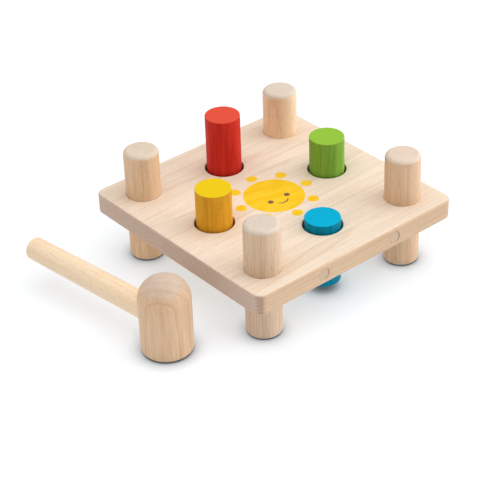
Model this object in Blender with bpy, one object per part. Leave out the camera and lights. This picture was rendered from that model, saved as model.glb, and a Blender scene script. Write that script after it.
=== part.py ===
"""A toddler's pounding bench: a square board on four posts, with four pegs to hammer down and a hammer.

Units are metres and +Z is up. The origin is the centre of the board's top face. +X runs along the
grain of the board, and +Y away from the front edge. The board is three staves glued edge to edge and
held by two dowels across them. Each corner post is one dowel glued through the board, so the bench
can be turned over and the pegs hammered back. A rubber ring in each peg hole grips its peg.
"""

import math

import bmesh
import bpy

# Board
BOARD_LENGTH = 0.188          # along the grain, X
STAVE_WIDTH = 0.188 / 3       # across the grain, Y
STAVE_NAMES = ("stave_front", "stave_middle", "stave_back")
BOARD_THICKNESS = 0.016
CORNER_RADIUS = 0.008         # the board's four upright corners
EDGE_RADIUS = 0.002           # all round its top and bottom edges

# Posts
POST_DIAMETER = 0.0265
POST_INSET = 0.0265           # from the board's edges to a post's axis
POST_REACH = 0.037            # above the board, and the same below it
POST_END_RADIUS = 0.0034

# Pegs
PEG_DIAMETER = 0.0265
PEG_LENGTH = 0.052
PEG_CHAMFER = 0.0006
PEG_OFFSET = 0.055            # from the board's centre to a peg's axis
PEG_CLEARANCE = 0.0015        # all round a peg, in its hole
PEGS = {                      # direction from the centre, and how far the peg's top stands up
    "yellow": ((-1, 0), 0.0290),
    "blue": ((0, -1), 0.0064),
    "red": ((0, 1), 0.0450),
    "green": ((1, 0), 0.0280),
}

# Grip rings
GRIP_HEIGHT = 0.008
GRIP_CHAMFER = 0.0002

# Dowels across the staves
DOWEL_DIAMETER = 0.009
DOWEL_WEB = 0.0013            # wood left between a dowel and the peg hole beside it
DOWEL_SINK = 0.0004           # how far its ends lie in from the board's edges

# Hammer
HEAD_DIAMETER = 0.0376
HEAD_LENGTH = 0.0602
DOME_HEIGHT = 0.0175
FACE_RADIUS = 0.004           # round the striking face
HANDLE_HEIGHT = 0.0263        # from the striking face to the handle's axis
HANDLE_REACH = 0.1373         # from the head's axis to the handle's end
HANDLE_ROOT_DIAMETER = 0.0185
HANDLE_END_DIAMETER = 0.0173
HANDLE_END_RADIUS = 0.0025
SOCKET_PAST_AXIS = 0.006      # the handle's blind socket ends this far past the head's axis
HAMMER_GAP = 0.0187           # from the board's left edge to the head
HAMMER_FORWARD = 0.0382       # from the board's middle to the head's axis, towards the front
HAMMER_TURN = math.radians(97.8)

# Shared
GLUE_GAP = 0.0003             # between pieces that touch
CUT_EXTRA = 0.004             # how far a cutter stands past what it cuts
ROUND_SIDES = 40              # posts, pegs, rings, the hammer's head and their holes
HANDLE_SIDES = 32
DOWEL_SIDES = 24
ARC_STEPS = 3                 # in the quarter circle of a rounded edge
DOME_STEPS = 9
SMOOTH_ANGLE = math.radians(35)

BOARD_WIDTH = STAVE_WIDTH * len(STAVE_NAMES)
PEG_HOLE_RADIUS = PEG_DIAMETER / 2 + PEG_CLEARANCE
POST_HOLE_RADIUS = POST_DIAMETER / 2 + GLUE_GAP
DOWEL_HOLE_RADIUS = DOWEL_DIAMETER / 2 + GLUE_GAP
DOWEL_X = PEG_OFFSET - PEG_HOLE_RADIUS - DOWEL_WEB - DOWEL_HOLE_RADIUS
FLOOR_Z = -BOARD_THICKNESS - POST_REACH
MIDDLE_Z = -BOARD_THICKNESS / 2


def clear_scene():
    for old in list(bpy.data.objects):
        bpy.data.objects.remove(old, do_unlink=True)


def make_material(name, color, roughness):
    material = bpy.data.materials.new(name)
    material.use_nodes = True
    shader = material.node_tree.nodes["Principled BSDF"]
    shader.inputs["Base Color"].default_value = (*color, 1.0)
    shader.inputs["Roughness"].default_value = roughness
    shader.inputs["Metallic"].default_value = 0.0
    material.diffuse_color = (*color, 1.0)
    return material


def add_object(name, mesh, material, location=(0, 0, 0), parent=None):
    mesh.name = name
    piece = bpy.data.objects.new(name, mesh)
    piece.location = location
    piece.parent = parent
    if material:
        mesh.materials.append(material)
    bpy.context.collection.objects.link(piece)
    return piece


def arc(center, radius, start, end, steps):
    """Points of an arc in the plane of a profile, both ends included; radius may be (across, up)."""
    across, up = radius if isinstance(radius, tuple) else (radius, radius)
    points = []
    for step in range(steps + 1):
        angle = math.radians(start + (end - start) * step / steps)
        points.append((center[0] + across * math.cos(angle), center[1] + up * math.sin(angle)))
    return points


def turned(profile, sides=ROUND_SIDES):
    """Mesh of a profile of (radius, height) points spun round Z, from the bottom to the top.

    Where the profile starts or ends off the axis, its end is closed with a flat face.
    """
    bm = bmesh.new()
    rings = []
    for radius, height in profile:
        if radius == 0:
            rings.append([bm.verts.new((0, 0, height))])
            continue
        ring = []
        for side in range(sides):
            angle = 2 * math.pi * side / sides
            ring.append(bm.verts.new((radius * math.cos(angle), radius * math.sin(angle), height)))
        rings.append(ring)
    for low, high in zip(rings, rings[1:]):
        for side in range(sides):
            after = (side + 1) % sides
            if len(high) == 1:
                bm.faces.new((low[side], low[after], high[0]))
            elif len(low) == 1:
                bm.faces.new((low[0], high[after], high[side]))
            else:
                bm.faces.new((low[side], low[after], high[after], high[side]))
    if len(rings[0]) > 1:
        bm.faces.new(list(reversed(rings[0])))
    if len(rings[-1]) > 1:
        bm.faces.new(rings[-1])
    return finish_mesh(bm)


def turned_ring(profile, sides=ROUND_SIDES):
    """Mesh of a closed profile of (radius, height) points, all off the axis, spun round Z."""
    bm = bmesh.new()
    rings = []
    for radius, height in profile:
        ring = []
        for side in range(sides):
            angle = 2 * math.pi * side / sides
            ring.append(bm.verts.new((radius * math.cos(angle), radius * math.sin(angle), height)))
        rings.append(ring)
    for index, low in enumerate(rings):
        high = rings[(index + 1) % len(rings)]
        for side in range(sides):
            after = (side + 1) % sides
            bm.faces.new((low[side], low[after], high[after], high[side]))
    return finish_mesh(bm)


def finish_mesh(bm):
    bmesh.ops.recalc_face_normals(bm, faces=bm.faces)
    mesh = bpy.data.meshes.new("shape")
    bm.to_mesh(mesh)
    bm.free()
    mesh.shade_smooth()
    mesh.set_sharp_from_angle(angle=SMOOTH_ANGLE)
    return mesh


def add_cutter(name, mesh, location, rotation=(0, 0, 0), parent=None):
    cutter = add_object(name, mesh, None, location, parent)
    cutter.rotation_euler = rotation
    cutter.hide_render = True
    cutter.display_type = "WIRE"
    return cutter


def cut(piece, cutter, operation="DIFFERENCE"):
    boolean = piece.modifiers.new(cutter.name, "BOOLEAN")
    boolean.operation = operation
    boolean.solver = "EXACT"
    boolean.object = cutter


def rod(radius, length, sides=ROUND_SIDES):
    """A plain rod along Z, centred on the origin."""
    return turned([(radius, -length / 2), (radius, length / 2)], sides)


def board_blank():
    """The whole board's outer form: a rounded square whose top and bottom edges are rounded too."""
    half_x, half_y = BOARD_LENGTH / 2, BOARD_WIDTH / 2
    rim = []
    rim += arc((EDGE_RADIUS, -BOARD_THICKNESS + EDGE_RADIUS), EDGE_RADIUS, 270, 180, ARC_STEPS)
    rim += arc((EDGE_RADIUS, -EDGE_RADIUS), EDGE_RADIUS, 180, 90, ARC_STEPS)
    bm = bmesh.new()
    loops = []
    for inset, height in rim:
        loop = []
        for turn, (side_x, side_y) in enumerate(((1, 1), (-1, 1), (-1, -1), (1, -1))):
            center = (side_x * (half_x - CORNER_RADIUS), side_y * (half_y - CORNER_RADIUS))
            start = 90 * turn
            for x, y in arc(center, CORNER_RADIUS - inset, start, start + 90, 2 * ARC_STEPS):
                loop.append(bm.verts.new((x, y, height)))
        loops.append(loop)
    for low, high in zip(loops, loops[1:]):
        for index in range(len(low)):
            after = (index + 1) % len(low)
            bm.faces.new((low[index], low[after], high[after], high[index]))
    bm.faces.new(list(reversed(loops[0])))
    bm.faces.new(loops[-1])
    return finish_mesh(bm)


def stave_slab(width):
    """A block that cuts one stave's share out of the board, wider than the board on every free side."""
    bm = bmesh.new()
    bmesh.ops.create_cube(bm, size=1.0)
    bmesh.ops.scale(bm, verts=bm.verts, vec=(BOARD_LENGTH + 2 * CUT_EXTRA, width,
                                             BOARD_THICKNESS + 2 * CUT_EXTRA))
    return finish_mesh(bm)


def stave_span(index):
    """Where a stave starts and ends across the board; inner edges leave half the glue gap."""
    low = -BOARD_WIDTH / 2 + index * STAVE_WIDTH
    high = low + STAVE_WIDTH
    low += -CUT_EXTRA if index == 0 else GLUE_GAP / 2
    high += CUT_EXTRA if index == len(STAVE_NAMES) - 1 else -GLUE_GAP / 2
    return low, high


def post_places():
    """Each post's name and the place of its axis."""
    across = BOARD_LENGTH / 2 - POST_INSET
    along = BOARD_WIDTH / 2 - POST_INSET
    return {
        "post_front_left": (-across, -along),
        "post_front_right": (across, -along),
        "post_back_left": (-across, along),
        "post_back_right": (across, along),
    }


def peg_place(color):
    (side_x, side_y), _ = PEGS[color]
    return side_x * PEG_OFFSET, side_y * PEG_OFFSET


def hole_cutters():
    """One cutter for each hole in the board, with the span across the board that it touches."""
    depth = BOARD_THICKNESS + 2 * CUT_EXTRA
    holes = []
    for name, (x, y) in post_places().items():
        mesh = rod(POST_HOLE_RADIUS, depth)
        cutter = add_cutter(f"cut_{name}", mesh, (x, y, MIDDLE_Z))
        holes.append((cutter, y - POST_HOLE_RADIUS, y + POST_HOLE_RADIUS))
    for color in PEGS:
        x, y = peg_place(color)
        mesh = rod(PEG_HOLE_RADIUS, depth)
        cutter = add_cutter(f"cut_hole_{color}", mesh, (x, y, MIDDLE_Z))
        holes.append((cutter, y - PEG_HOLE_RADIUS, y + PEG_HOLE_RADIUS))
    for side, x in (("left", -DOWEL_X), ("right", DOWEL_X)):
        mesh = rod(DOWEL_HOLE_RADIUS, BOARD_WIDTH + 2 * CUT_EXTRA, DOWEL_SIDES)
        cutter = add_cutter(f"cut_dowel_{side}", mesh, (x, 0, MIDDLE_Z), (math.radians(90), 0, 0))
        holes.append((cutter, -BOARD_WIDTH / 2, BOARD_WIDTH / 2))
    return holes


def make_board(material):
    holes = hole_cutters()
    for index, name in enumerate(STAVE_NAMES):
        low, high = stave_span(index)
        stave = add_object(name, board_blank(), material)
        slab = add_cutter(f"slab_{name}", stave_slab(high - low), (0, (low + high) / 2, MIDDLE_Z))
        cut(stave, slab, "INTERSECT")
        for cutter, hole_low, hole_high in holes:
            if hole_high > low and hole_low < high:
                cut(stave, cutter)


def make_cross_dowels(material):
    length = BOARD_WIDTH - 2 * DOWEL_SINK
    for side, x in (("left", -DOWEL_X), ("right", DOWEL_X)):
        mesh = rod(DOWEL_DIAMETER / 2, length, DOWEL_SIDES)
        dowel = add_object(f"cross_dowel_{side}", mesh, material, (x, 0, MIDDLE_Z))
        dowel.rotation_euler = (math.radians(90), 0, 0)


def make_posts(material):
    radius = POST_DIAMETER / 2
    half = POST_REACH + BOARD_THICKNESS / 2
    inner = radius - POST_END_RADIUS
    profile = arc((inner, -half + POST_END_RADIUS), POST_END_RADIUS, 270, 360, ARC_STEPS)
    profile += arc((inner, half - POST_END_RADIUS), POST_END_RADIUS, 0, 90, ARC_STEPS)
    for name, (x, y) in post_places().items():
        add_object(name, turned(profile), material, (x, y, MIDDLE_Z))


def make_pegs(materials):
    """Each peg hangs from an empty on its axis, at the board's top face: the line it slides on."""
    radius = PEG_DIAMETER / 2
    profile = [
        (radius - PEG_CHAMFER, -PEG_LENGTH),
        (radius, -PEG_LENGTH + PEG_CHAMFER),
        (radius, -PEG_CHAMFER),
        (radius - PEG_CHAMFER, 0),
    ]
    for color, (_, top) in PEGS.items():
        x, y = peg_place(color)
        axis = bpy.data.objects.new(f"peg_{color}_axis", None)
        axis.location = (x, y, 0)
        bpy.context.collection.objects.link(axis)
        add_object(f"peg_{color}", turned(profile), materials[color], (0, 0, top), axis)


def make_grip_rings(material):
    inner = PEG_DIAMETER / 2 + GLUE_GAP
    outer = PEG_HOLE_RADIUS - GLUE_GAP
    half = GRIP_HEIGHT / 2
    profile = [
        (inner + GRIP_CHAMFER, -half),
        (outer, -half),
        (outer, half),
        (inner + GRIP_CHAMFER, half),
        (inner, half - GRIP_CHAMFER),
        (inner, -half + GRIP_CHAMFER),
    ]
    for color in PEGS:
        x, y = peg_place(color)
        add_object(f"grip_ring_{color}", turned_ring(profile), material, (x, y, MIDDLE_Z))


def make_hammer(material):
    """Head on its striking face, on the floor beside the bench, with the handle level."""
    stand = bpy.data.objects.new("hammer_stand", None)
    stand.location = (-BOARD_LENGTH / 2 - HAMMER_GAP - HEAD_DIAMETER / 2, -HAMMER_FORWARD, FLOOR_Z)
    stand.rotation_euler = (0, 0, HAMMER_TURN)
    bpy.context.collection.objects.link(stand)

    radius = HEAD_DIAMETER / 2
    profile = arc((radius - FACE_RADIUS, FACE_RADIUS), FACE_RADIUS, 270, 360, ARC_STEPS)
    dome = arc((0, HEAD_LENGTH - DOME_HEIGHT), (radius, DOME_HEIGHT), 0, 90, DOME_STEPS)
    profile += dome[:-1] + [(0, HEAD_LENGTH)]
    head = add_object("hammer_head", turned(profile), material, parent=stand)

    root = HANDLE_ROOT_DIAMETER / 2
    inner_end = -SOCKET_PAST_AXIS + GLUE_GAP
    end_center = (HANDLE_END_DIAMETER / 2 - HANDLE_END_RADIUS, HANDLE_REACH - HANDLE_END_RADIUS)
    handle_profile = [(root, inner_end), (root, radius)]
    handle_profile += arc(end_center, HANDLE_END_RADIUS, 0, 90, ARC_STEPS)
    along = (0, math.radians(90), 0)
    handle_mesh = turned(handle_profile, HANDLE_SIDES)
    handle = add_object("hammer_handle", handle_mesh, material, (0, 0, HANDLE_HEIGHT), stand)
    handle.rotation_euler = along

    socket_start = -SOCKET_PAST_AXIS
    socket_end = radius + CUT_EXTRA
    socket_mesh = rod(root + GLUE_GAP, socket_end - socket_start, HANDLE_SIDES)
    socket_place = ((socket_start + socket_end) / 2, 0, HANDLE_HEIGHT)
    cut(head, add_cutter("cut_socket", socket_mesh, socket_place, along, stand))


def main():
    clear_scene()
    beech = make_material("pale_wood", (0.80, 0.62, 0.42), 0.6)
    dowel_wood = make_material("dowel_wood", (0.66, 0.50, 0.35), 0.65)
    rubber = make_material("grip_rubber", (0.05, 0.04, 0.035), 0.8)
    stains = {
        "yellow": make_material("yellow_stain", (0.90, 0.58, 0.03), 0.55),
        "blue": make_material("blue_stain", (0.0, 0.38, 0.65), 0.55),
        "red": make_material("red_stain", (0.72, 0.07, 0.05), 0.55),
        "green": make_material("green_stain", (0.26, 0.50, 0.06), 0.55),
    }
    make_board(beech)
    make_cross_dowels(dowel_wood)
    make_posts(beech)
    make_pegs(stains)
    make_grip_rings(rubber)
    make_hammer(beech)


main()
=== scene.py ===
"""A toddler's pounding bench, finished: fine surfaces, timber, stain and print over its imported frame.

Units are metres and +Z is up. The origin is the centre of the board's top face, +X runs along the
board's grain and +Y from its front edge to its back. Inside the wood recipes lengths are millimetres.
"""

import math

import bmesh
import bpy
import numpy as np
from mathutils import Matrix, Vector
from mathutils.geometry import delaunay_2d_cdt


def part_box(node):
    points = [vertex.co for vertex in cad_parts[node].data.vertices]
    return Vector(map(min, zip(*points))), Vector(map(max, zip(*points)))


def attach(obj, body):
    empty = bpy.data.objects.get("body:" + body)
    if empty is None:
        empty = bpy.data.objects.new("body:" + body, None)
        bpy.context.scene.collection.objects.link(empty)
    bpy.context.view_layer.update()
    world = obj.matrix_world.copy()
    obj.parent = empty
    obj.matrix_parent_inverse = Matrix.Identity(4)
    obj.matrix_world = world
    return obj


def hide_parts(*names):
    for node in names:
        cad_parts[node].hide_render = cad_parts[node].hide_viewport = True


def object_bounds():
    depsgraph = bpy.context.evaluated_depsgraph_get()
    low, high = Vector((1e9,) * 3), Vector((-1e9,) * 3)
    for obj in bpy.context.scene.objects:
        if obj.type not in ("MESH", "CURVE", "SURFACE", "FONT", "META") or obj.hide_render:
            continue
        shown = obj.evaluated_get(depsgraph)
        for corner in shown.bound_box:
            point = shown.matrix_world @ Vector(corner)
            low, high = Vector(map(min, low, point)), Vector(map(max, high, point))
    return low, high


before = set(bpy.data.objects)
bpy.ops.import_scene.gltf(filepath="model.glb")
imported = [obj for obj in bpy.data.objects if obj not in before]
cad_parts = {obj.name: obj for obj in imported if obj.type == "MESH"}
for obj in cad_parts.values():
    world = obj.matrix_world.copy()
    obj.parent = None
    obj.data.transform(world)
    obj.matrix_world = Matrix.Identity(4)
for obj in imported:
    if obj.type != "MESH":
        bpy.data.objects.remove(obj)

packed_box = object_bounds()

# ---------------------------------------------------------------------------------------------
# The board: three staves of pale hardwood glued edge to edge, the grain of all three along X.
# It is sawn square, its corners and edges are rounded over, and it is bored for posts and pegs.
# Every edge is sanded by hand; the end grain is greyer and drinks more of the clear wax.
STAVES = ("stave_front", "stave_middle", "stave_back")
POSTS = ("post_front_left", "post_front_right", "post_back_left", "post_back_right")
PEGS = ("yellow", "blue", "red", "green")
CORNER_RADIUS = 0.008         # the board's four upright corners
SIDE_EDGE = 0.0020            # rounding of its top and bottom edges along the front and back
END_EDGE = 0.0013             # and across the ends, where the sander takes off less
PEG_PLAY = 0.0015             # all round a peg, in its hole
PEG_HOLE_EDGE = 0.0005
POST_FIT = 0.00004            # all round a glued post
POST_HOLE_EDGE = 0.0003
DOWEL_FIT = 0.0001
DOWEL_HOLE_EDGE = 0.00025
JOINT_LINE = 0.00002          # a glue line between two staves
EDGE_STEPS = 8                # in a quarter circle of a rounded edge
HOLE_EDGE_STEPS = 4           # in a quarter circle of a hole's rim
CORNER_STEPS = 24             # in a quarter circle at a corner of the board
ROUND_SIDES = 144             # of a turned piece, and of the hole it stands in
DOWEL_SIDES = 72
WELD = 1e-6                   # points closer than this are one point
CREASE = math.radians(35)     # edges sharper than this show as edges
MM = 1000                     # millimetres in a metre


def middle(node):
    """The centre of a node's box, which lies on the axis of a turned piece."""
    low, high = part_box(node)
    return (low + high) / 2


def radius(node):
    """Half the width of a node along X."""
    low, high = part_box(node)
    return (high.x - low.x) / 2


def arc(center, size, start, end, steps=EDGE_STEPS):
    """Part of an ellipse: center + (a cos t, b sin t), for t from start to end in degrees."""
    t = np.radians(np.linspace(start, end, steps + 1))
    a, b = np.broadcast_to(size, 2)
    return np.stack((center[0] + a * np.cos(t), center[1] + b * np.sin(t)), 1)


def net(rows, columns, closed=True):
    """Quads of a grid whose point (r, c) is number r * columns + c; a closed grid joins its ends."""
    r, c = np.meshgrid(np.arange(rows - 1), np.arange(columns if closed else columns - 1), indexing="ij")
    here, beside = r * columns + c, r * columns + (c + 1) % columns
    return np.stack((here, beside, beside + columns, here + columns), -1).reshape(-1, 4)


def turned(profile, foot=(0, 0, 0), along=(0, 0, 1), side=(1, 0, 0), sides=ROUND_SIDES):
    """Surface of revolution: a profile's point (r, h) at turn t goes to
    foot + h along + r (cos t side + sin t across)."""
    profile = np.asarray(profile, float)
    t = np.linspace(0, 2 * np.pi, sides, endpoint=False)
    spoke = np.outer(np.cos(t), side) + np.outer(np.sin(t), np.cross(along, side))
    points = profile[:, None, :1] * spoke + profile[:, None, 1:] * np.array(along, float) + np.array(foot)
    return points.reshape(-1, 3), net(len(profile), sides), True


def flat(outline, holes, place, sides):
    """A flat face: the triangle net over a convex outline of (u, v) points, without its round holes.

    A triangle lies in a hole when its three corners are all on that hole's rim.
    """
    t = np.linspace(0, 2 * np.pi, sides, endpoint=False)
    loops = [np.asarray(outline)]
    loops += [np.stack((u + r * np.cos(t), v + r * np.sin(t)), 1) for u, v, r in holes]
    starts = np.cumsum([0] + [len(loop) for loop in loops])
    uv = np.concatenate(loops)
    edges = [(start + np.stack((np.arange(len(loop)), np.roll(np.arange(len(loop)), -1)), 1)).tolist()
             for start, loop in zip(starts, loops)]
    found = delaunay_2d_cdt([Vector(point) for point in uv], sum(edges, []), [], 0, 1e-9)
    source = np.array([numbers[0] for numbers in found[3]])
    triangles = source[np.array(found[2])]
    owner = np.repeat(np.arange(len(loops)), [len(loop) for loop in loops])[triangles]
    keep = (owner[:, 0] == 0) | (owner != owner[:, :1]).any(1)
    return place(uv[:, 0], uv[:, 1]), triangles[keep], False


def add_piece(name, surfaces, material, body, node=None):
    """One closed mesh from surfaces that meet along their edges, each (points, faces, shaded smooth)."""
    starts = np.cumsum([0] + [len(points) for points, _, _ in surfaces])
    points = np.concatenate([points for points, _, _ in surfaces])
    faces = sum(((faces + start).tolist() for start, (_, faces, _) in zip(starts, surfaces)), [])
    mesh = bpy.data.meshes.new(name)
    mesh.from_pydata(points.tolist(), [], faces)
    smooth = np.repeat([shaded for _, _, shaded in surfaces], [len(faces) for _, faces, _ in surfaces])
    mesh.polygons.foreach_set("use_smooth", smooth)
    welded = bmesh.new()
    welded.from_mesh(mesh)
    bmesh.ops.remove_doubles(welded, verts=welded.verts, dist=WELD)
    bmesh.ops.recalc_face_normals(welded, faces=welded.faces)
    welded.to_mesh(mesh)
    welded.free()
    mesh.set_sharp_from_angle(angle=CREASE)
    mesh.materials.append(material)
    piece = bpy.data.objects.new(name, mesh)
    bpy.context.scene.collection.objects.link(piece)
    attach(piece, body)
    if node:
        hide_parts(node)


class Recipe:
    """A material's node tree, written as a list of short steps."""

    def __init__(self, name, finish):
        """A material whose shader has these finish values, one to a socket."""
        self.material = bpy.data.materials.new(name)
        self.material.use_nodes = True
        self.tree = self.material.node_tree
        self.shader = self.tree.nodes["Principled BSDF"]
        self.surface = self.tree.nodes.new("ShaderNodeTexCoord")
        for socket, value in finish.items():
            self.shader.inputs[socket].default_value = value

    def add(self, kind, inputs, **settings):
        """A new node, each of its inputs joined to another node's answer or set to a value."""
        node = self.tree.nodes.new(kind)
        for setting, value in settings.items():
            setattr(node, setting, value)
        for socket, value in inputs.items():
            if isinstance(value, bpy.types.NodeSocket):
                self.tree.links.new(value, node.inputs[socket])
            else:
                node.inputs[socket].default_value = value
        return node

    def sum(self, operation, *values):
        """A Math node's answer."""
        return self.add("ShaderNodeMath", dict(enumerate(values)), operation=operation).outputs[0]

    def vector(self, operation, *values):
        """A Vector Math node's answer."""
        node = self.add("ShaderNodeVectorMath", dict(enumerate(values)), operation=operation)
        return node.outputs["Value" if operation in ("LENGTH", "DOT_PRODUCT") else "Vector"]

    def noise(self, where, size, stretch, detail, result="Fac"):
        """Soft random values with features of this size, drawn out along the grain by stretch."""
        where = self.vector("MULTIPLY", where, (1, 1, 1 / stretch))
        inputs = {"Vector": where, "Scale": 1 / size, "Detail": detail}
        return self.add("ShaderNodeTexNoise", inputs).outputs[result]

    def rise(self, value, low, high, top=1.0):
        """0 up to low, then a smooth rise to top at high."""
        inputs = {"Value": value, "From Min": low, "From Max": high, "To Max": top}
        return self.add("ShaderNodeMapRange", inputs, interpolation_type="SMOOTHSTEP").outputs[0]

    def mix(self, share, first, second, blend="MIX"):
        """Two colours mixed by share."""
        inputs = {0: share, 6: first, 7: second}
        return self.add("ShaderNodeMix", inputs, data_type="RGBA", blend_type=blend).outputs[2]

    def link(self, socket, value):
        """Joins a node's answer to one of the shader's sockets."""
        self.tree.links.new(value, self.shader.inputs[socket])

    def bump(self, height, distance, strength):
        """Relief: height 0 to 1 stands for this many metres."""
        inputs = {"Height": height, "Distance": distance, "Strength": strength}
        self.link("Normal", self.add("ShaderNodeBump", inputs).outputs[0])


def rgb(color):
    """A colour as a socket takes it, with an alpha of 1."""
    return (*color, 1.0)


RIPPLE = 0.9                  # mm, how far a ring's small waves reach
FAINTEST_RING = 0.25          # its depth, where the deepest ring has 1
END_FROM, END_TO = 0.26, 0.56           # cosines of a face's normal to the grain, from side to end grain
END_RAGGED = 0.30             # how far they shift to and fro


def timber(recipe, pith, grain, ring_gap, wander, shift, fibre_length, end_to=END_TO):
    """The inside of a log, so that a pattern runs on from face to face: rings, fibres, pores, end grain.

    The pith is a line along the grain through the point pith. A ring's number is the distance from that
    line over the ring gap, after a slow wander; each ring darkens outwards and ends in a thin line. The
    piece is cut from the log at its shift along the grain, in mm. End grain is 0 to 1 as the cosine
    between the face's normal and the grain rises from END_FROM to end_to.
    """
    turn = Vector(grain).normalized().rotation_difference(Vector((0, 0, 1))).to_matrix()
    start = turn @ Vector(pith) * -MM
    start.z += shift
    place = recipe.add("ShaderNodeMapping", {
        "Vector": recipe.surface.outputs["Object"], "Location": start,
        "Rotation": turn.to_euler(), "Scale": (MM, MM, MM)}).outputs[0]
    drift = recipe.noise(place, size=34, stretch=5, detail=1, result="Color")
    drift = recipe.vector("SUBTRACT", drift, (0.5, 0.5, 0.5))
    drift = recipe.vector("MULTIPLY", drift, (wander, wander, 0))
    ripple = recipe.noise(place, size=4.5, stretch=9, detail=2, result="Color")
    ripple = recipe.vector("SUBTRACT", ripple, (0.5, 0.5, 0.5))
    ripple = recipe.vector("MULTIPLY", ripple, (RIPPLE, RIPPLE, 0))
    bent = recipe.vector("ADD", recipe.vector("ADD", place, drift), ripple)
    reach = recipe.vector("LENGTH", recipe.vector("MULTIPLY", bent, (1, 1, 0)))
    number = recipe.sum("DIVIDE", reach, ring_gap)
    across = recipe.sum("FRACT", number)
    weight = recipe.add("ShaderNodeTexWhiteNoise", {"W": recipe.sum("FLOOR", number)},
                        noise_dimensions="1D").outputs["Value"]
    late = recipe.rise(across, 0.30, 0.97)
    line = recipe.sum("MULTIPLY", recipe.rise(across, 0.80, 0.95),
                      recipe.sum("SUBTRACT", 1.0, recipe.rise(across, 0.96, 1.0)))
    weight = recipe.sum("MULTIPLY_ADD", weight, 1 - FAINTEST_RING, FAINTEST_RING)
    facing = recipe.vector("DOT_PRODUCT", recipe.surface.outputs["Normal"], Vector(grain).normalized())
    ragged = recipe.noise(place, size=1.6, stretch=3, detail=3)
    ragged = recipe.sum("MULTIPLY_ADD", ragged, END_RAGGED, -END_RAGGED / 2)
    facing = recipe.sum("ADD", recipe.sum("ABSOLUTE", facing), ragged)
    return {
        "late": recipe.sum("MULTIPLY", late, weight),
        "line": recipe.sum("MULTIPLY", line, weight),
        "fibre": recipe.noise(bent, size=0.9, stretch=fibre_length, detail=4),
        "streak": recipe.noise(bent, size=3.4, stretch=26, detail=3),
        "patch": recipe.noise(place, size=26, stretch=3, detail=2),
        "pores": recipe.rise(recipe.noise(place, size=0.36, stretch=14, detail=1), 0.62, 0.72),
        "end": recipe.rise(facing, END_FROM, end_to),
    }


LINE_SHARE, LATE_SHARE = 0.8, 0.45      # of a ring's depth, in its outer line and in its late wood
FIBRE_DEPTH, STREAK_DEPTH, PATCH_DEPTH = 0.32, 0.30, 0.20
END_FIGURE, END_PORES = -0.5, -0.6      # change of the fibres and of the pores on end grain
ROUGHNESS, FIBRE_ROUGHNESS, END_ROUGHNESS = 0.40, 0.22, 0.10
PORE_RELIEF, LINE_RELIEF = -0.6, 0.25   # beside the fibres' 1
RELIEF = 0.00006                        # metres, from the lowest fibre to the highest


def wood(name, pale, dark, pith, grain, ring_gap, end_tint=(1, 1, 1), painted_side_shade=None, pore_depth=0.3,
         ring_depth=0.5, end_rings=1.0, end_to=END_TO, fibre_length=46, wander=6.0, shift=0.0,
         pore_color=(0.42, 0.28, 0.18)):
    """Bare sanded timber under a thin clear wax: pale to dark by the sum of its rings, fibres, streaks
    and patches, with its pores in a colour of their own.

    On end grain the rings' depth is 1 + end_rings times what it is elsewhere. The side shade darkens faces
    square to Y: painted shade on the board's front and back, not a tone of the wood.
    """
    recipe = Recipe(name, {"Specular IOR Level": 0.2, "Sheen Weight": 0.12, "Sheen Roughness": 0.4})
    log = timber(recipe, pith, grain, ring_gap, wander, shift, fibre_length, end_to)
    rings = recipe.sum("MULTIPLY_ADD", log["line"], ring_depth * LINE_SHARE,
                       recipe.sum("MULTIPLY", log["late"], ring_depth * LATE_SHARE))
    depth = recipe.sum("MULTIPLY", rings, recipe.sum("MULTIPLY_ADD", log["end"], end_rings, 1.0))
    figure = recipe.sum("ADD", recipe.rise(log["fibre"], 0.36, 0.66, FIBRE_DEPTH),
                        recipe.rise(log["streak"], 0.36, 0.68, STREAK_DEPTH))
    figure = recipe.sum("MULTIPLY", figure, recipe.sum("MULTIPLY_ADD", log["end"], END_FIGURE, 1.0))
    depth = recipe.sum("ADD", depth, figure)
    depth = recipe.sum("ADD", depth, recipe.rise(log["patch"], 0.35, 0.68, PATCH_DEPTH))
    tone = recipe.mix(depth, rgb(pale), rgb(dark))
    pores = recipe.sum("MULTIPLY_ADD", log["end"], END_PORES * pore_depth, pore_depth)
    pores = recipe.sum("MULTIPLY", log["pores"], pores)
    tone = recipe.mix(pores, tone, rgb(pore_color))
    # painted shade: faces square to Y, the board's front and back, are darkened by the side shade
    if painted_side_shade:
        upright = recipe.vector("DOT_PRODUCT", recipe.surface.outputs["Normal"], (0, 1, 0))
        upright = recipe.rise(recipe.sum("ABSOLUTE", upright), 0.2, 0.9)
        tone = recipe.mix(upright, tone, rgb(painted_side_shade), "MULTIPLY")
    tone = recipe.mix(log["end"], tone, rgb(end_tint), "MULTIPLY")
    recipe.link("Base Color", tone)
    rough = recipe.sum("MULTIPLY_ADD", log["fibre"], FIBRE_ROUGHNESS, ROUGHNESS)
    recipe.link("Roughness", recipe.sum("MULTIPLY_ADD", log["end"], END_ROUGHNESS, rough))
    relief = recipe.sum("MULTIPLY_ADD", log["pores"], PORE_RELIEF, log["fibre"])
    relief = recipe.sum("MULTIPLY_ADD", log["line"], LINE_RELIEF, relief)
    recipe.bump(relief, RELIEF, strength=0.8)
    return recipe.material


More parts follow.
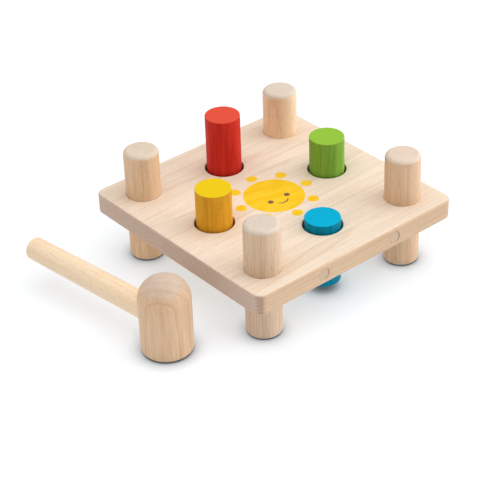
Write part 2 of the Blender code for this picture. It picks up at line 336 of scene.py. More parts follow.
def outline_of(stave):
    """The free edges of a stave, seen from above: paths of points, each with its outward normal.

    An end is a straight line, and a corner is a quarter circle about a centre one corner radius in.
    """
    x, y = board_high.x - CORNER_RADIUS, board_high.y - CORNER_RADIUS
    low, high = joints[stave]
    angles = {"stave_front": [(x, -y, 0, -90), (-x, -y, -90, -180)],
              "stave_back": [(-x, y, 180, 90), (x, y, 90, 0)]}.get(stave)
    if not angles:
        return [(np.array([(side * board_high.x, side * high), (side * board_high.x, side * low)]),
                 np.array([(side, 0), (side, 0)])) for side in (1, -1)]
    normals = np.concatenate([arc((0, 0), 1, start, end, CORNER_STEPS) for _, _, start, end in angles])
    centers = np.repeat([(cx, cy) for cx, cy, _, _ in angles], CORNER_STEPS + 1, axis=0)
    points = centers + CORNER_RADIUS * normals
    joint = high if stave == "stave_front" else low
    side = np.sign(points[0, 0])
    points = np.concatenate(([(side * board_high.x, joint)], points, [(-side * board_high.x, joint)]))
    normals = np.concatenate(([(side, 0)], normals, [(-side, 0)]))
    return [(points, normals)]


def rounded_wall(points, normals):
    """The outer wall, with the edge radius e that a point's normal gives: e_end x^2 + e_side y^2.

    Round the lower edge a runs from -90 to 0 degrees, round the upper one from 0 to 90. A point goes in
    by e (1 - cos a) and up by e sin a, from a height e above the bottom face or e below the top one.
    """
    edge = END_EDGE * normals[:, 0] ** 2 + SIDE_EDGE * normals[:, 1] ** 2
    lower, upper = np.linspace(-90, 0, EDGE_STEPS + 1), np.linspace(0, 90, EDGE_STEPS + 1)
    a = np.radians(np.concatenate((lower, upper)))[:, None]
    start = np.repeat([board_low.z, board_high.z], EDGE_STEPS + 1)[:, None]
    start = start + edge * np.repeat([1, -1], EDGE_STEPS + 1)[:, None]
    inward = (edge * (1 - np.cos(a)))[..., None] * normals
    height = start + edge * np.sin(a)
    return np.concatenate((points - inward, height[..., None]), -1)


def bored(center, size, edge):
    """A round hole from the bottom face to the top one, its rims rounded outwards by edge."""
    x, y = center
    profile = np.concatenate((arc((size + edge, board_low.z + edge), edge, 270, 180, HOLE_EDGE_STEPS),
                              arc((size + edge, board_high.z - edge), edge, 180, 90, HOLE_EDGE_STEPS)))
    return turned(profile, (x, y, 0))


def stave_surfaces(stave):
    """Rounded outer walls, bored holes and dowel holes, and the flat faces that join them.

    On an outer stave the wall's one long flat quad, which has no dowel holes, is left out.
    """
    low, high = joints[stave]
    paths = [rounded_wall(points, normals) for points, normals in outline_of(stave)]
    holes = [(x, y, size, edge) for x, y, size, edge in bores if low < y < high]
    rims = [(x, y, size + edge) for x, y, size, edge in holes]
    dowels = [(x, dowel_z, dowel_size + DOWEL_HOLE_EDGE) for x in dowel_places]
    surfaces = [bored((x, y), size, edge) for x, y, size, edge in holes]
    for path in paths:
        rows, columns = path.shape[:2]
        faces = net(rows, columns, closed=False)
        if columns > 2:
            long_quad = (rows // 2 - 1) * (columns - 1) + CORNER_STEPS + 1
            faces = np.delete(faces, long_quad, axis=0)
        surfaces.append((path.reshape(-1, 3), faces, True))
    for row, z in ((0, board_low.z), (-1, board_high.z)):
        rim = np.concatenate([path[row, :, :2] for path in paths])
        surfaces.append(flat(rim, rims, lambda x, y, z=z: np.stack((x, y, x * 0 + z), 1), ROUND_SIDES))
    reach = board_high.x - CORNER_RADIUS
    for y, outer in ((low, stave == "stave_front"), (high, stave == "stave_back")):
        if outer:
            foot, top = board_low.z + SIDE_EDGE, board_high.z - SIDE_EDGE
            rim = [(-reach, foot), (reach, foot), (reach, top), (-reach, top)]
        else:
            ends = [path[:, column] for path in paths for column in (0, -1)
                    if abs(path[0, column, 1] - y) < WELD]
            rim = np.concatenate((ends[0], ends[1][::-1]))[:, ::2]
        surfaces.append(flat(rim, dowels, lambda x, z, y=y: np.stack((x, x * 0 + y, z), 1), DOWEL_SIDES))
    span = [(dowel_size + DOWEL_HOLE_EDGE, low), (dowel_size, low + DOWEL_HOLE_EDGE),
            (dowel_size, high - DOWEL_HOLE_EDGE), (dowel_size + DOWEL_HOLE_EDGE, high)]
    surfaces += [turned(span, (x, 0, dowel_z), (0, 1, 0), sides=DOWEL_SIDES) for x in dowel_places]
    return surfaces


board_low, board_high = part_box("stave_front")[0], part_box("stave_back")[1]
seams = [(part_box(near)[1].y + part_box(far)[0].y) / 2 for near, far in zip(STAVES, STAVES[1:])]
joints = {"stave_front": (board_low.y, seams[0] - JOINT_LINE / 2),
          "stave_middle": (seams[0] + JOINT_LINE / 2, seams[1] - JOINT_LINE / 2),
          "stave_back": (seams[1] + JOINT_LINE / 2, board_high.y)}
bores = [(*middle(post).xy, radius(post) + POST_FIT, POST_HOLE_EDGE) for post in POSTS]
bores += [(*middle(f"peg_{color}").xy, radius(f"peg_{color}") + PEG_PLAY, PEG_HOLE_EDGE) for color in PEGS]
dowel_places = [middle(f"cross_dowel_{side}").x for side in ("left", "right")]
dowel_z = middle("cross_dowel_left").z
dowel_size = radius("cross_dowel_left") + DOWEL_FIT

BOARD_PALE, BOARD_DARK = (0.90, 0.765, 0.63), (0.765, 0.60, 0.445)
# the second of these darkens the board's front and back faces: painted shade, not the wood's own tone
BOARD_END, BOARD_PAINTED_SIDE_SHADE = (0.74, 0.68, 0.695), (0.82, 0.69, 0.57)
stave_logs = {                # a point on the pith, the way of the grain, and the ring gap in mm
    "stave_front": ((0, -0.078, 0.034), (1, 0.02, 0.012), 3.1),
    "stave_middle": ((0, 0.012, -0.062), (1, -0.015, -0.02), 3.6),
    "stave_back": ((0, 0.050, 0.030), (1, 0.012, 0.016), 2.8),
}
STAVE_SHIFT = 170             # mm along the log, from one stave's cut to the next
for number, stave in enumerate(STAVES):
    pith, grain, ring_gap = stave_logs[stave]
    plank = wood(f"{stave} timber", BOARD_PALE, BOARD_DARK, pith, grain, ring_gap, BOARD_END, BOARD_PAINTED_SIDE_SHADE,
                 shift=STAVE_SHIFT * number)
    piece_name = "_".join(reversed(stave.split("_")))
    add_piece(piece_name, stave_surfaces(stave), plank, "bench", stave)

# ---------------------------------------------------------------------------------------------
# Two birch dowels glued through all three staves, across their grain, from edge to edge.
# They are sanded off just short of the board's edges, and their end grain shows there.
DOWEL_END_EDGE = 0.00025
DOWEL_EDGE_STEPS = 3
DOWEL_END_LOOP = 0.8          # an end's inner loop of points, as a share of its flat
DOWEL_PALE, DOWEL_DARK = (0.79, 0.625, 0.475), (0.64, 0.475, 0.335)
DOWEL_END = (0.86, 0.82, 0.80)
DOWEL_PITH = (0.03, -0.03)    # along X from a dowel's axis, and the pith's height
DOWEL_RING_GAP = 1.6          # mm
for side, x in zip(("left", "right"), dowel_places):
    low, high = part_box(f"cross_dowel_{side}")
    size = radius(f"cross_dowel_{side}")
    inner = size - DOWEL_END_EDGE
    near, far = low.y + DOWEL_END_EDGE, high.y - DOWEL_END_EDGE
    loop = inner * DOWEL_END_LOOP
    profile = np.concatenate(([(0, low.y), (loop, low.y)],
                              arc((inner, near), DOWEL_END_EDGE, 270, 360, DOWEL_EDGE_STEPS),
                              arc((inner, far), DOWEL_END_EDGE, 0, 90, DOWEL_EDGE_STEPS),
                              [(loop, high.y), (0, high.y)]))
    pith = (x + DOWEL_PITH[0], 0, DOWEL_PITH[1])
    log = wood(f"{side} dowel timber", DOWEL_PALE, DOWEL_DARK, pith, (0, 1, 0), DOWEL_RING_GAP, DOWEL_END)
    add_piece(f"{side}_cross_dowel", [turned(profile, (x, 0, dowel_z), (0, 1, 0), sides=DOWEL_SIDES)],
              log, "bench", f"cross_dowel_{side}")

# ---------------------------------------------------------------------------------------------
# Four posts, each one turned hardwood dowel glued through the board: a leg below, a stump above.
# Both ends are rounded over on the lathe, and the grain runs up the post.
POST_END = 0.0034             # rounding of its ends
POST_END_LOOP = 0.96          # an end's inner loop of points, as a share of its flat
POST_LEAN = (0.02, 0.015)     # of the grain, to the right or left and to the back
POST_SHIFT = 90               # mm along the log, from one post's cut to the next
post_logs = {                 # way from a post's axis to its pith, ring gap in mm; pale, dark, end tint
    "post_front_left": ((0.021, -0.031), 2.3,
                        (0.82, 0.62, 0.45), (0.65, 0.445, 0.29), (0.92, 1.05, 1.23)),
    "post_front_right": ((-0.034, -0.012), 2.0,
                         (0.86, 0.61, 0.41), (0.69, 0.425, 0.24), (0.93, 1.08, 1.32)),
    "post_back_left": ((-0.012, 0.040), 2.6,
                       (0.87, 0.63, 0.42), (0.70, 0.44, 0.245), (0.86, 1.00, 1.22)),
    "post_back_right": ((0.030, 0.018), 2.4,
                        (1.0, 0.76, 0.54), (0.90, 0.60, 0.37), (0.74, 0.85, 1.01)),
}


def turned_post(node):
    """A rod whose ends are quarter circles: (r, z) from the foot's centre to the top's centre."""
    low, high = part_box(node)
    inner = radius(node) - POST_END
    loop = inner * POST_END_LOOP
    profile = np.concatenate(([(0, low.z), (loop, low.z)],
                              arc((inner, low.z + POST_END), POST_END, 270, 360),
                              arc((inner, high.z - POST_END), POST_END, 0, 90),
                              [(loop, high.z), (0, high.z)]))
    return turned(profile, (*middle(node).xy, 0))


for number, (post, (away, ring_gap, pale, dark, end_tint)) in enumerate(post_logs.items()):
    center = middle(post)
    pith = (center.x + away[0], center.y + away[1], 0)
    lean = (POST_LEAN[0] * (-1) ** number, POST_LEAN[1], 1)
    rod = wood(f"{post} timber", pale, dark, pith, lean, ring_gap, end_tint, pore_depth=0.5,
               end_rings=-0.65, fibre_length=18, wander=4.0, shift=POST_SHIFT * number)
    piece_name = "_".join(post.split("_")[1:]) + "_post"
    add_piece(piece_name, [turned_post(post)], rod, "bench", post)

# ---------------------------------------------------------------------------------------------
# The print: a plain sun with eight round dots about it, screen printed in opaque yellow on the
# board's middle, and on it a plain smiling face in brown. The ink is a film that dries proud.
FILM_LIFT, FILM_TOP = 0.000006, 0.000035
SUN_CENTER = (0.0002, -0.0021)
SUN_RADIUS = 0.0229
RAY_COUNT, RAY_RADIUS, RAY_CIRCLE, RAY_TURN = 8, 0.0042, 0.0292, -6
INK_LIFT, INK_TOP = 0.000038, 0.000060
EYE_RADIUS, EYE_SPREAD, EYE_DROP = 0.0022, 0.0078, 0.0052
SMILE_RADIUS, SMILE_DROP, SMILE_SPAN, SMILE_WIDTH = 0.0062, 0.0060, 100, 0.0010
DISC_SIDES, SMILE_STEPS = 72, 48
SUN_INK, SUN_INK_DEEP = (0.93, 0.60, 0.035), (0.89, 0.54, 0.012)
FACE_INK, FACE_INK_DEEP = (0.25, 0.115, 0.08), (0.20, 0.085, 0.06)
INK_RELIEF = 0.00003


def film_disc(center, size, lift, top, sides=DISC_SIDES):
    """A disc of ink: a flat coin with a bevelled rim as wide as it is high."""
    rim = size - (top - lift)
    profile = [(0, lift), (size, lift), (rim, top), (rim / 2, top), (0, top)]
    return turned(profile, (*center, 0), sides=sides)


def film_stroke(center, size, start, end, width, lift, top):
    """A stroke of ink along an arc: a flat ribbon whose half width is w / 2 sqrt(1 - s^8), with s from
    -1 to 1 along it, so its ends are blunt and round."""
    s = np.linspace(-1, 1, SMILE_STEPS + 1)
    t = np.radians((start + end) / 2 + s * (end - start) / 2)
    half = width / 2 * np.sqrt(np.maximum(1 - s ** 8, 0))
    inner, outer = size - half, size + half
    ring = np.stack((inner, inner, outer, outer), 1)
    height = np.broadcast_to([lift, top, top, lift], ring.shape)
    x = center[0] + ring * np.cos(t)[:, None]
    y = center[1] + ring * np.sin(t)[:, None]
    points = np.stack((x, y, height), -1)
    faces = net(SMILE_STEPS + 1, 4)
    ends = np.array([[0, 1, 2, 3], np.arange(4) + SMILE_STEPS * 4])
    return points.reshape(-1, 3), np.concatenate((faces, ends)), False


def ink(name, light, deep):
    """Screen ink: a little thicker here and thinner there along the grain of the board below it."""
    recipe = Recipe(name, {"Roughness": 0.42, "Specular IOR Level": 0.06})
    place = recipe.add("ShaderNodeMapping", {"Vector": recipe.surface.outputs["Object"],
                                             "Rotation": (0, math.radians(-90), 0),
                                             "Scale": (MM, MM, MM)}).outputs[0]
    body = recipe.rise(recipe.noise(place, size=7, stretch=3, detail=2), 0.40, 0.62)
    fibre = recipe.rise(recipe.noise(place, size=0.8, stretch=30, detail=4), 0.35, 0.70, top=0.5)
    tone = recipe.mix(body, rgb(light), rgb(deep))
    recipe.link("Base Color", recipe.mix(fibre, tone, rgb(deep)))
    recipe.bump(recipe.noise(place, size=0.8, stretch=20, detail=3), INK_RELIEF, strength=0.6)
    return recipe.material


sun_film = [film_disc(SUN_CENTER, SUN_RADIUS, FILM_LIFT, FILM_TOP, ROUND_SIDES)]
for ray in range(RAY_COUNT):
    turn = math.radians(RAY_TURN + 360 * ray / RAY_COUNT)
    place = (SUN_CENTER[0] + RAY_CIRCLE * math.cos(turn), SUN_CENTER[1] + RAY_CIRCLE * math.sin(turn))
    sun_film.append(film_disc(place, RAY_RADIUS, FILM_LIFT, FILM_TOP))
add_piece("printed_sun", sun_film, ink("sun ink", SUN_INK, SUN_INK_DEEP), "bench")

face_film = []
for side in (-1, 1):
    eye = (SUN_CENTER[0] + side * EYE_SPREAD, SUN_CENTER[1] - EYE_DROP)
    face_film.append(film_disc(eye, EYE_RADIUS, INK_LIFT, INK_TOP))
smile = (SUN_CENTER[0], SUN_CENTER[1] - SMILE_DROP)
face_film.append(film_stroke(smile, SMILE_RADIUS, 270 - SMILE_SPAN / 2, 270 + SMILE_SPAN / 2, SMILE_WIDTH,
                             INK_LIFT, INK_TOP))
add_piece("printed_face", face_film, ink("face ink", FACE_INK, FACE_INK_DEEP), "bench")

# ---------------------------------------------------------------------------------------------
# A ring of black rubber bonded in each peg hole. Its inner wall bulges and grips the peg, so the
# peg stays at any height until it is hit.
GRIP_CROWN = 0.0004
GRIP_PLAY = 0.00006           # left between the ring's crown and its peg
GRIP_ROWS = 13                # circles of points across its inner wall
BOND = 0.00002                # between the ring and the wall of its hole
RUBBER, RUBBER_WORN = (0.022, 0.016, 0.013), (0.05, 0.036, 0.03)
RUBBER_ROUGHNESS, RUBBER_GRAIN_ROUGHNESS = 0.6, 0.2
RUBBER_RELIEF = 0.00004


def grip_ring(node, peg):
    """A ring whose inner wall is crowned: its radius at s, from -1 to 1 up its height, is crown + c s^2."""
    low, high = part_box(node)
    outer = radius(peg) + PEG_PLAY - BOND
    crown = radius(peg) + GRIP_PLAY
    s = np.linspace(-1, 1, GRIP_ROWS)
    height = (low.z + high.z) / 2 + s * (high.z - low.z) / 2
    inner = np.stack((crown + GRIP_CROWN * s ** 2, height), 1)
    profile = np.concatenate((inner, [(outer, high.z), (outer, low.z)], inner[:1]))
    return turned(profile, (*middle(peg).xy, 0))


def rubber(name):
    """Black rubber, dull, with a fine mould grain."""
    recipe = Recipe(name, {"Specular IOR Level": 0.35})
    place = recipe.vector("MULTIPLY", recipe.surface.outputs["Object"], (MM, MM, MM))
    grain = recipe.noise(place, size=0.5, stretch=1, detail=3)
    recipe.link("Base Color", recipe.mix(grain, rgb(RUBBER), rgb(RUBBER_WORN)))
    rough = recipe.sum("MULTIPLY_ADD", grain, RUBBER_GRAIN_ROUGHNESS, RUBBER_ROUGHNESS)
    recipe.link("Roughness", rough)
    recipe.bump(grain, RUBBER_RELIEF, strength=0.5)
    return recipe.material


ring_rubber = rubber("grip rubber")
for color in PEGS:
    add_piece(f"{color}_grip", [grip_ring(f"grip_ring_{color}", f"peg_{color}")], ring_rubber,
              "bench", f"grip_ring_{color}")

# ---------------------------------------------------------------------------------------------
# Four pegs sawn from turned hardwood rod and steeped in water stain, so the grain shows through.
# Their ends are cut square with only the sharpness taken off.
PEG_EDGE = 0.0005
PEG_EDGE_STEPS = 5
PEG_END_LOOP = 0.97           # an end's inner loop of points, as a share of its flat
PEG_GRAIN = (0.02, -0.015, 1)
PEG_RING_GAP = 2.4            # mm
PEG_SHIFT = 60                # mm along the log, from one peg's cut to the next
STAIN_LATE, STAIN_STREAK, STAIN_FIBRE = 0.35, 0.5, 0.4      # depth of the dark grain in each
STAIN_PORES, STAIN_END_PORES = 0.5, 0.18
STAIN_ROUGHNESS, STAIN_FIBRE_ROUGHNESS = 0.36, 0.25
STAIN_PORE_RELIEF = -0.7      # beside the fibres' 1
PORE_SHADE = 0.6              # a stained pore's tone, as a share of the dark grain's
stains = {                    # side, side in its dark grain, and end, whose lighter colour is painted light on the pegs' lit tops
    "yellow": ((0.82, 0.41, 0.030), (0.68, 0.30, 0.018), (0.82, 0.565, 0.008)),
    "blue": ((0.001, 0.30, 0.46), (0.001, 0.20, 0.33), (0.0005, 0.42, 0.66)),
    "red": ((0.72, 0.042, 0.024), (0.55, 0.021, 0.016), (0.75, 0.085, 0.047)),
    "green": ((0.26, 0.50, 0.060), (0.17, 0.36, 0.045), (0.285, 0.535, 0.050)),
}
# way from each peg's axis to its pith
peg_piths = {"yellow": (0.02, 0.03), "blue": (-0.03, 0.02), "red": (0.03, -0.02), "green": (-0.02, -0.03)}


def sawn_peg(node):
    """A rod with barely rounded rims: (r, z) from the lower end's centre to the upper end's."""
    low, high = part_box(node)
    inner = radius(node) - PEG_EDGE
    loop = inner * PEG_END_LOOP
    profile = np.concatenate(([(0, low.z), (loop, low.z)],
                              arc((inner, low.z + PEG_EDGE), PEG_EDGE, 270, 360, PEG_EDGE_STEPS),
                              arc((inner, high.z - PEG_EDGE), PEG_EDGE, 0, 90, PEG_EDGE_STEPS),
                              [(loop, high.z), (0, high.z)]))
    return turned(profile, (*middle(node).xy, 0))


def stain(name, side, grain_tone, end, pith, shift):
    """Water stain on timber: side to grain tone by the sum of late wood, streaks and fibres, darker in
    the pores, and more even on end grain."""
    recipe = Recipe(name, {"Specular IOR Level": 0.06})
    log = timber(recipe, pith, PEG_GRAIN, PEG_RING_GAP, wander=4.0, shift=shift, fibre_length=24)
    depth = recipe.rise(log["streak"], 0.38, 0.66, STAIN_STREAK)
    depth = recipe.sum("MULTIPLY_ADD", log["late"], STAIN_LATE, depth)
    depth = recipe.sum("ADD", depth, recipe.rise(log["fibre"], 0.38, 0.66, STAIN_FIBRE))
    tone = recipe.mix(depth, rgb(side), rgb(grain_tone))
    dark = tuple(PORE_SHADE * value for value in grain_tone)
    tone = recipe.mix(recipe.sum("MULTIPLY", log["pores"], STAIN_PORES), tone, rgb(dark))
    # the end grain's colour is lighter than the side's: painted light on the pegs' lit tops
    ends = recipe.mix(recipe.sum("MULTIPLY", log["pores"], STAIN_END_PORES), rgb(end), rgb(side))
    recipe.link("Base Color", recipe.mix(log["end"], tone, ends))
    rough = recipe.sum("MULTIPLY_ADD", log["fibre"], STAIN_FIBRE_ROUGHNESS, STAIN_ROUGHNESS)
    recipe.link("Roughness", rough)
    relief = recipe.sum("MULTIPLY_ADD", log["pores"], STAIN_PORE_RELIEF, log["fibre"])
    recipe.bump(relief, RELIEF, strength=0.8)
    return recipe.material


for number, color in enumerate(PEGS):
    center = middle(f"peg_{color}")
    away = peg_piths[color]
    pith = (center.x + away[0], center.y + away[1], 0)
    finish = stain(f"{color} stain", *stains[color], pith, PEG_SHIFT * number)
    add_piece(f"{color}_peg", [sawn_peg(f"peg_{color}")], finish, f"{color}_peg", f"peg_{color}")

# ---------------------------------------------------------------------------------------------
# The hammer: a turned hardwood head with a flat face and a domed back, standing on its face, and
# a turned handle glued into a blind socket in its side. Head and handle are sanded and waxed.
HEAD_FACE_EDGE = 0.0040
HEAD_END_LOOP = 0.97          # the face's inner loop of points, as a share of its flat
DOME_HEIGHT = 0.0175
DOME_STEPS = 32
SOCKET_PAST_AXIS = 0.0060     # the socket ends this far past the head's axis
SOCKET_END_GAP = 0.0003
SOCKET_FIT = 0.00005
SOCKET_EDGE = 0.00025
WINDOW_COLUMNS = 17           # half the width, in columns, of the patch round the socket
WINDOW_MARGIN = 0.0028        # from the socket's edge to the patch's top and bottom
WINDOW_ROWS = 24
PATCH_RINGS = 5
PATCH_CROWDING = 1.3          # above 1 the patch's rings lie closer together near the mouth
HANDLE_ROOT_RADIUS, HANDLE_END_RADIUS = 0.00925, 0.00865
HANDLE_ROOT_EDGE, HANDLE_END_EDGE = 0.0005, 0.0026
HANDLE_END_LOOP = 0.96        # its end's inner loop of points, as a share of the end's flat
HANDLE_SIDES = 96

head_low, head_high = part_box("hammer_head")
head_radius = radius("hammer_head")
head_foot = np.array((*middle("hammer_head").xy, head_low.z))
handle_height = middle("hammer_handle").z - head_low.z
to_handle = np.array(middle("hammer_handle").xy) - head_foot[:2]
# the handle's middle is half way from its inner end, past the head's axis, to its outer one
handle_reach = 2 * np.hypot(*to_handle) + SOCKET_PAST_AXIS - SOCKET_END_GAP
to_handle = np.array((*(to_handle / np.hypot(*to_handle)), 0))
across_handle = np.cross((0, 0, 1), to_handle)


def on_head(x, y, z):
    """Points given along the handle, across it and up from the head's face, moved to where it stands."""
    return head_foot + x[..., None] * to_handle + y[..., None] * across_handle + z[..., None] * (0, 0, 1)


def head_surfaces():
    """A turned shell with a square window left out, a patch of rings that runs from the window's rim to
    the socket's mouth, and the socket.

    On the side of the head a point at arc length s and height z is (R cos(s/R), R sin(s/R), z). The mouth
    is where a rod of radius m across the axis meets it: y = m cos t, z = height + m sin t.
    """
    height = head_high.z - head_low.z
    inner = head_radius - HEAD_FACE_EDGE
    mouth = HANDLE_ROOT_RADIUS + SOCKET_FIT + SOCKET_EDGE
    half = mouth + WINDOW_MARGIN
    window = np.linspace(handle_height - half, handle_height + half, WINDOW_ROWS + 1)
    dome = arc((0, height - DOME_HEIGHT), (head_radius, DOME_HEIGHT), 0, 90, DOME_STEPS)
    dome[-1, 0] = 0               # it closes on the axis
    profile = np.concatenate(([(0, 0), (inner * HEAD_END_LOOP, 0)],
                              arc((inner, HEAD_FACE_EDGE), HEAD_FACE_EDGE, 270, 360),
                              np.stack((window * 0 + head_radius, window), 1), dome))
    points, faces, _ = turned(profile, head_foot, (0, 0, 1), to_handle)
    row, column = faces[:, 0] // ROUND_SIDES, faces[:, 0] % ROUND_SIDES
    first_row = 2 + EDGE_STEPS + 1          # the profile's points below the window
    beside = (column + WINDOW_COLUMNS) % ROUND_SIDES < 2 * WINDOW_COLUMNS
    faces = faces[~(beside & (row >= first_row) & (row < first_row + WINDOW_ROWS))]

    step = 2 * math.pi / ROUND_SIDES
    along = np.arange(-WINDOW_COLUMNS, WINDOW_COLUMNS) * step * head_radius
    edge = WINDOW_COLUMNS * step * head_radius
    length = np.concatenate((along, window[:-1] * 0 + edge, -along, window[:-1] * 0 - edge))
    level = np.concatenate((along * 0 + window[0], window[:-1], along * 0 + window[-1], window[:0:-1]))
    t = np.arctan2(level - handle_height, head_radius * np.sin(length / head_radius))

    share = np.linspace(0, 1, PATCH_RINGS + 1)[:, None] ** PATCH_CROWDING
    mouth_length = head_radius * np.arcsin(mouth * np.cos(t) / head_radius)
    mouth_level = handle_height + mouth * np.sin(t)
    s = mouth_length + share * (length - mouth_length)
    z = mouth_level + share * (level - mouth_level)
    patch = on_head(head_radius * np.cos(s / head_radius), head_radius * np.sin(s / head_radius), z)

    bore_size = mouth - SOCKET_EDGE
    y, z = bore_size * np.cos(t), handle_height + bore_size * np.sin(t)
    start = np.sqrt(head_radius ** 2 - y ** 2) - SOCKET_EDGE
    blind = y * 0 - SOCKET_PAST_AXIS
    rows = [patch[0], on_head(start, y, z), on_head(blind, y, z),
            on_head(blind, y * 0, y * 0 + handle_height)]
    bore = np.stack(rows).reshape(-1, 3)
    columns = len(t)
    return [(points, faces, True), (patch.reshape(-1, 3), net(PATCH_RINGS + 1, columns), True),
            (bore, net(len(rows), columns), True)]


def handle_surface():
    """A rod that tapers a little to a rounded end, from the socket's blind end outwards: (r, distance
    from the head's axis) from the inner end's centre to the outer end's."""
    inner = SOCKET_END_GAP - SOCKET_PAST_AXIS
    end = (HANDLE_END_RADIUS - HANDLE_END_EDGE, handle_reach - HANDLE_END_EDGE)
    root = [(0, inner), (HANDLE_ROOT_RADIUS - HANDLE_ROOT_EDGE, inner),
            (HANDLE_ROOT_RADIUS, inner + HANDLE_ROOT_EDGE), (HANDLE_ROOT_RADIUS, head_radius)]
    profile = np.concatenate((root, arc(end, HANDLE_END_EDGE, 0, 90),
                              [(end[0] * HANDLE_END_LOOP, handle_reach), (0, handle_reach)]))
    foot = head_foot + (0, 0, handle_height)
    return turned(profile, foot, to_handle, (0, 0, 1), HANDLE_SIDES)


HEAD_PALE, HEAD_DARK, HEAD_END = (0.845, 0.59, 0.385), (0.675, 0.41, 0.235), (0.83, 0.95, 1.19)
HEAD_PITH = (0.0201, 0.0187, 0)         # from the middle of the head's face to the pith, far off behind it
HEAD_GRAIN = (-0.0143, -0.0134, 1)      # leaning a little, so that a ring comes out of its side as an arch
HEAD_RING_GAP = 5.475                   # mm
HANDLE_PALE, HANDLE_DARK, HANDLE_PORES = (1.0, 0.80, 0.575), (0.91, 0.68, 0.455), (0.60, 0.36, 0.20)
HANDLE_PITH = (-0.10, 0.02, -0.075)     # a point on it
HANDLE_LEAN = (0.02, 0, 0.012)          # of its grain, off the handle's axis
HANDLE_RING_GAP = 2.2                   # mm
head_log = wood("hammer head timber", HEAD_PALE, HEAD_DARK, head_foot + HEAD_PITH, HEAD_GRAIN,
                HEAD_RING_GAP, HEAD_END, pore_depth=0.2, ring_depth=0.5, end_rings=-0.5, end_to=1.0,
                fibre_length=24, wander=0.6)
handle_log = wood("hammer handle timber", HANDLE_PALE, HANDLE_DARK, HANDLE_PITH, to_handle + HANDLE_LEAN,
                  HANDLE_RING_GAP, pore_depth=0.55, wander=3.0, pore_color=HANDLE_PORES)
add_piece("hammer_head_turned", head_surfaces(), head_log, "hammer", "hammer_head")
add_piece("hammer_handle_turned", [handle_surface()], handle_log, "hammer", "hammer_handle")

# ---------------------------------------------------------------------------------------------
# The stage: a plain white floor that glows a little, as a lit sweep does, so that shadows stay pale,
# with a painted contact shadow that darkens it close to a foot. A soft light overhead, a broad one from the
# right and a weak one from the left; behind the floor the sky is seen pale, though it lights the scene only
# a little.
FLOOR_SIZE = 8.0
FLOOR_COLOR, FLOOR_GLOW = (0.57, 0.565, 0.56), 0.46
GLOW_COLOR = (0.955, 1.035, 1.115)
CONTACT_SHADOW_REACH = 0.018         # how far from a foot the painted contact shadow under its rim spreads
CONTACT_SHADOW_DARK = 0.05           # where only this share of the air above is open, the painted shadow makes the floor black
CONTACT_SHADOW_CLEAR = 0.95          # and from this share on the floor has no painted shadow and is fully white
LIGHTS = {                    # strength, spread of its disc in degrees, way to it, colour
    "overhead": (2.55, 84, (0.06, -0.02, 1.0), (1.0, 1.0, 1.0)),
    "right": (2.40, 60, (0.83, -0.50, 0.16), (0.99, 1.0, 1.01)),
    "left": (0.46, 70, (-0.95, 0.20, 0.18), (1.0, 0.92, 0.82)),
}
SKY_COLOR, SKY_STRENGTH = (1.0, 0.95, 0.90), 0.12
SKY_SEEN = 1.2                # how bright the sky looks behind the floor, where it is seen directly

floor_z = packed_box[0].z
half = FLOOR_SIZE / 2
floor_mesh = bpy.data.meshes.new("floor")
floor_mesh.from_pydata([(-half, -half, floor_z), (half, -half, floor_z), (half, half, floor_z),
                        (-half, half, floor_z)], [], [(0, 1, 2, 3)])
floor_paint = Recipe("floor paint", {"Roughness": 0.9, "Specular IOR Level": 0.0,
                                     "Emission Strength": FLOOR_GLOW})
# painted contact shadow: ambient occlusion darkens the floor's colour and its glow to black close to a foot
contact_shadow = floor_paint.add("ShaderNodeAmbientOcclusion", {"Distance": CONTACT_SHADOW_REACH}, samples=8)
contact_shadow = floor_paint.rise(contact_shadow.outputs["AO"], CONTACT_SHADOW_DARK, CONTACT_SHADOW_CLEAR)
floor_paint.link("Base Color", floor_paint.mix(contact_shadow, rgb((0, 0, 0)), rgb(FLOOR_COLOR)))
floor_paint.link("Emission Color", floor_paint.mix(contact_shadow, rgb((0, 0, 0)), rgb(GLOW_COLOR)))
floor_mesh.materials.append(floor_paint.material)
floor = bpy.data.objects.new("floor", floor_mesh)
bpy.context.scene.collection.objects.link(floor)

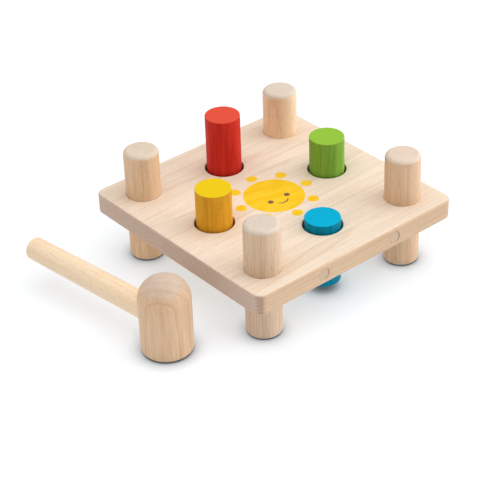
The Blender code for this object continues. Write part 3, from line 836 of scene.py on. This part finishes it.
for name, (strength, spread, way, color) in LIGHTS.items():
    lamp = bpy.data.lights.new(name, "SUN")
    lamp.energy = strength
    lamp.angle = math.radians(spread)
    lamp.color = color
    light = bpy.data.objects.new(name, lamp)
    light.rotation_euler = Vector(way).to_track_quat("Z", "Y").to_euler()
    bpy.context.scene.collection.objects.link(light)

sky = bpy.data.worlds.new("sky")
sky.use_nodes = True
background = sky.node_tree.nodes["Background"]
background.inputs["Color"].default_value = rgb(SKY_COLOR)
seen = sky.node_tree.nodes.new("ShaderNodeLightPath").outputs["Is Camera Ray"]
strength = sky.node_tree.nodes.new("ShaderNodeMapRange")
strength.inputs["To Min"].default_value = SKY_STRENGTH
strength.inputs["To Max"].default_value = SKY_SEEN
sky.node_tree.links.new(seen, strength.inputs["Value"])
sky.node_tree.links.new(strength.outputs[0], background.inputs["Strength"])
bpy.context.scene.world = sky
bpy.context.scene.view_settings.view_transform = "Standard"

# ---------------------------------------------------------------------------------------------
# The camera stands before the near corner and above it, a little over a metre off, with a long
# lens. It is leaned by a small roll, and moved sideways and down to frame the set.
CAMERA_AZIMUTH, CAMERA_ELEVATION, CAMERA_ROLL = map(math.radians, (-39.05, 33.41, -2.14))
CAMERA_DISTANCE = 1.2034
CAMERA_RIGHT, CAMERA_UP = -0.02363, -0.03354
CAMERA_LENS, CAMERA_SENSOR = 122.33, 36.0

back = Vector((math.sin(CAMERA_AZIMUTH) * math.cos(CAMERA_ELEVATION),
               -math.cos(CAMERA_AZIMUTH) * math.cos(CAMERA_ELEVATION), math.sin(CAMERA_ELEVATION)))
level = Vector((0, 0, 1)).cross(back).normalized()
upright = back.cross(level)
right = math.cos(CAMERA_ROLL) * level + math.sin(CAMERA_ROLL) * upright
up = -math.sin(CAMERA_ROLL) * level + math.cos(CAMERA_ROLL) * upright
lens = bpy.data.cameras.new("camera")
lens.lens = CAMERA_LENS
lens.sensor_width = CAMERA_SENSOR
camera = bpy.data.objects.new("camera", lens)
place = right * CAMERA_RIGHT + up * CAMERA_UP + back * CAMERA_DISTANCE
camera.matrix_world = Matrix.Translation(place) @ Matrix((right, up, back)).transposed().to_4x4()
bpy.context.scene.collection.objects.link(camera)
bpy.context.scene.camera = camera
